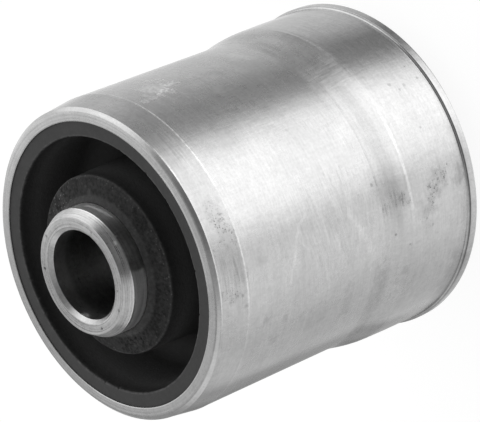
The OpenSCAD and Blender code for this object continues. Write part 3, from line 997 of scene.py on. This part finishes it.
# %% Tell the rubber's mouth, boss and recess apart
moulded_rubber, tree, output = new_material("moulded_rubber")
spot = use_group(tree, turned_place)
on_end = ramp_mm(tree, spot["End"], 1.2, 0.6)
trimmed = times(tree, ramp_mm(tree, spot["Radius"], mouth_r - 0.1, mouth_r + 0.3), on_end)
on_boss = times(tree, ramp_mm(tree, spot["Radius"], boss_r + 0.1, boss_r - 0.1), on_end)
boss_rim = times(tree, on_boss, ramp_mm(tree, spot["Radius"], boss_r - 2.0, boss_r - 0.6))
# A painted highlight on the boss's rounded outer edge.
boss_edge_highlight = times(tree, on_boss, ramp_mm(tree, spot["Radius"], boss_r - 0.45, boss_r - 0.2))
collar = times(tree, on_boss, ramp_mm(tree, spot["Radius"], tube_r + 1.7, tube_r + 1.0))
# A painted highlight along the skin's inner edge.
from_mouth = calc(tree, "ABSOLUTE", calc(tree, "SUBTRACT", spot["Radius"], (mouth_r + 0.2) * MM))
mouth_edge_highlight = times(tree, on_end, ramp_mm(tree, from_mouth, 0.25, 0.1))
# Painted light that lifts the shade down in the recess.
recess_painted_light = ramp_mm(tree, spot["End"], 0.8, 5.0)

# %% Make the moulded rubber
RUBBER_GREY = 0.032
RUBBER_ROUGHNESS = 0.62
PRINT_DEPTH = 0.05
BOSS_MARKS = [
    (-16.7, 13.7, 68.4, 0.8, 0.3, 0.8), (-49.9, 13.7, 68.4, 0.4, 0.3, 1.0),
    (-13.0, 14.6, 68.3, 0.5, 0.3, 0.7),
]
UNEVEN_FACE = [(24, 15.2, 68.4, 6.0, 0.3, 1.0), (178, 14.8, 68.4, 5.5, 0.3, 1.0)]
ROUGH_SIDE = [(22, 15.2, 68.4, 5.5, 0.3, 1.0)]
mottle = use_group(tree, clouds, Size_mm=2.2, Low=0.35, High=0.65, Seed=1.0)["Clouds"]
fleck = use_group(tree, clouds, Size_mm=0.7, Low=0.3, High=0.7, Seed=5.0)["Clouds"]
grain = use_group(tree, clouds, Size_mm=0.35, Low=0.3, High=0.7, Seed=6.0)["Clouds"]
dots = use_group(tree, specks, Spacing_mm=0.5, Size=0.38, Share=0.35, Seed=3.0)["Specks"]
uneven = times(tree, on_boss, place_patches(tree, UNEVEN_FACE))
face = times(tree, on_boss, sum_of(tree, 0.0, (mottle, 0.5, 0.014), (fleck, 0.5, 0.02), (grain, 0.5, 0.012)),
             sum_of(tree, 1.0, (uneven, 0.0, 1.5)))
flecks = times(tree, boss_rim, dots)
rough_side = times(tree, on_boss, place_patches(tree, ROUGH_SIDE, fleck), dots)
bruised = times(tree, on_boss, place_patches(tree, BOSS_MARKS, fleck))
colour = sum_of(
    tree, RUBBER_GREY, (trimmed, 0.0, 0.050), (face, 0.0, 1.0), (flecks, 0.0, 0.06), (boss_edge_highlight, 0.0, 0.02),
    (bruised, 0.0, 0.05), (rough_side, 0.0, 0.14), (collar, 0.0, 0.035), (recess_painted_light, 0.0, 0.062),
    (fleck, 0.5, 0.008), (times(tree, mouth_edge_highlight, fleck), 0.0, 0.05))
roughness = sum_of(tree, RUBBER_ROUGHNESS, (trimmed, 0.0, -0.06), (mottle, 0.5, 0.14), (grain, 0.5, 0.1))
print_height = sum_of(
    tree, 0.5, (mottle, 0.5, 0.3), (fleck, 0.5, 0.5), (grain, 0.5, 0.3), (flecks, 0.0, 0.4))
height = times(tree, print_height, sum_of(tree, 1.0, (trimmed, 0.0, -0.7)))
bump = add(tree, "ShaderNodeBump", {"Strength": 1.0, "Distance": PRINT_DEPTH * MM, "Height": height})
shader = add(tree, "ShaderNodeBsdfPrincipled", {
    "Base Color": grey(tree, colour), "Roughness": roughness, "Specular IOR Level": 0.15,
    "Normal": bump.outputs[0]})
tree.links.new(shader.outputs[0], output.inputs["Surface"])
print("rubber with", len(tree.nodes), "nodes")

# %% [markdown]
# ## The finished pieces
# Each mesh now becomes an object, rides on the part's one body and stands for its CAD node.

# %% Finish the three pieces
finish_piece(sleeve, "turned_outer_sleeve", "outer_sleeve", sleeve_steel)
finish_piece(tube, "turned_inner_tube", "inner_tube", tube_steel)
finish_piece(rubber, "moulded_rubber_body", "rubber", moulded_rubber)

# %% [markdown]
# ## The floor
# The floor is a plain white sheet. It keeps a faint shadow of the bush, and most of its white comes
# from a plain emission that only the camera sees. It is left out of reflections, so that the steel
# shows the studio's panels all round, as a part does that hangs on a thread in a light tent.

# %% Make the floor
FLOOR_REACH = 3.0
FLOOR_GLOW = 0.9
FLOOR_SHADOW = 0.21
floor_white, tree, output = new_material("floor_white")
matt = add(tree, "ShaderNodeBsdfDiffuse", {"Color": (0.9, 0.9, 0.9, 1)})
faint = add(tree, "ShaderNodeBsdfDiffuse", {"Color": (FLOOR_SHADOW, FLOOR_SHADOW, FLOOR_SHADOW, 1)})
glow = add(tree, "ShaderNodeEmission", {"Color": (1, 1, 1, 1), "Strength": FLOOR_GLOW})
white = add(tree, "ShaderNodeAddShader", {0: faint.outputs[0], 1: glow.outputs[0]})
seen = add(tree, "ShaderNodeLightPath").outputs["Is Camera Ray"]
mix = add(tree, "ShaderNodeMixShader", {0: seen, 1: matt.outputs[0], 2: white.outputs[0]})
tree.links.new(mix.outputs[0], output.inputs["Surface"])
sheet = bmesh.new()
bmesh.ops.create_grid(sheet, x_segments=1, y_segments=1, size=FLOOR_REACH)
floor_mesh = bpy.data.meshes.new("floor")
sheet.to_mesh(floor_mesh)
sheet.free()
floor_mesh.materials.append(floor_white)
floor = bpy.data.objects.new("floor", floor_mesh)
floor.visible_glossy = False
bpy.context.scene.collection.objects.link(floor)
print("floor of", 2 * FLOOR_REACH, "by", 2 * FLOOR_REACH, "m")

# %% [markdown]
# ## The studio
# Bare steel has no colour of its own: it shows what stands round it. The world here is a grey room
# with soft panels in it. Each panel is a patch of the sky with a soft edge, given by the direction of
# its middle and how far it reaches. A lamp adds light, and a card with a negative strength is darker
# than the room, as a black card is that a photographer holds beside shiny metal.
# The room's level and the numbers of the first thirteen rows were found by a separate fitting program,
# which made the greys of each surface come out as in the photo. The rest was set one by one.

# %% Build the world's panels
def toward(turn_deg, rise_deg):
    """The direction that lies so many degrees left of the camera's side, and above the horizon."""
    turned, rise = math.radians(turn_deg - 90), math.radians(rise_deg)
    return (math.cos(turned) * math.cos(rise), math.sin(turned) * math.cos(rise), math.sin(rise))


ROOM = 0.37
DARKEST = 0.12
PANELS = [  # name, turn, rise, core and reach in degrees, strength
    ("key", 20, -31, 10, 40, 1.09),
    ("key_fall", -88, -52, 44, 52, 0.29),
    ("top_wide", 126, 19, 46, 50, 0.48),
    ("back_low", 155, -70, 37, 41, 0.42),
    ("side", -117, 22, 8, 25, 0.56),
    ("side_card", -157, -1, 39, 43, -0.41),
    ("camera_card", 13, 12, 24, 51, -0.28),
    ("gap", 77, -60, 8, 26, -0.65),
    ("top", 96, 12, 1, 46, 1.32),
    ("back", -161, 7, 19, 57, 0.44),
    ("low", 3, -52, 31, 70, 0.39),
    ("top_card", 90, 9, 26, 41, -0.66),
    ("left", -68, 16, 12, 44, 0.37),
    ("behind", 176, -24, 8, 26, 0.45),
]
world = bpy.data.worlds.new("studio")
world.use_nodes = True
bpy.context.scene.world = world
tree = world.node_tree
tree.nodes.clear()
direction = add(tree, "ShaderNodeTexCoord").outputs["Generated"]
light = ROOM
for name, turn_deg, rise_deg, core_deg, reach_deg, strength in PANELS:
    facing = vector_math(tree, "DOT_PRODUCT", direction, toward(turn_deg, rise_deg), "Value")
    facing.node.label = name
    part = remap(tree, facing, math.cos(math.radians(reach_deg)), math.cos(math.radians(core_deg)))
    light = calc(tree, "ADD", light, times(tree, part, strength))
light = calc(tree, "MAXIMUM", light, DARKEST)
path = add(tree, "ShaderNodeLightPath").outputs["Is Camera Ray"]
lit = add(tree, "ShaderNodeMix", {"Factor": path, "A": light, "B": 1.0}).outputs["Result"]
background = add(tree, "ShaderNodeBackground", {"Color": (1, 1, 1, 1), "Strength": lit})
tree.links.new(background.outputs[0], add(tree, "ShaderNodeOutputWorld").inputs["Surface"])
print("studio with", len(PANELS), "panels")

# %% [markdown]
# ## The camera
# The photo was taken with a long lens from near by, with the bush on its side. Here the bush stands
# on its end, so the camera is rolled instead: the part's axis then points to the lower left of the
# picture as in the photo. The numbers come from fitting the photo's four round edges.

# %% Place the camera
CAMERA_RISE = math.radians(38.335)
CAMERA_ROLL = math.radians(112.329)
CAMERA_DISTANCE = 535.98
TARGET_BELOW_RIM = 26.5
bpy.context.scene.view_settings.view_transform = "Standard"
lens = bpy.data.cameras.new("camera")
lens.lens = 221.05
lens.sensor_width = 36
lens.shift_x = 0.0529
lens.shift_y = 0.0215
lens.clip_start = 0.05
camera = bpy.data.objects.new("camera", lens)
back = Vector((0, -math.cos(CAMERA_RISE), math.sin(CAMERA_RISE)))
upright = (-back).to_track_quat("-Z", "Y").to_matrix().to_4x4()
target = Vector((0, 0, rim_z - TARGET_BELOW_RIM)) * MM
camera.matrix_world = (Matrix.Translation(target + back * CAMERA_DISTANCE * MM) @ upright
                       @ Matrix.Rotation(-CAMERA_ROLL, 4, "Z"))
bpy.context.scene.collection.objects.link(camera)
bpy.context.scene.camera = camera
print("camera at", [round(place, 3) for place in camera.matrix_world.translation], "m")
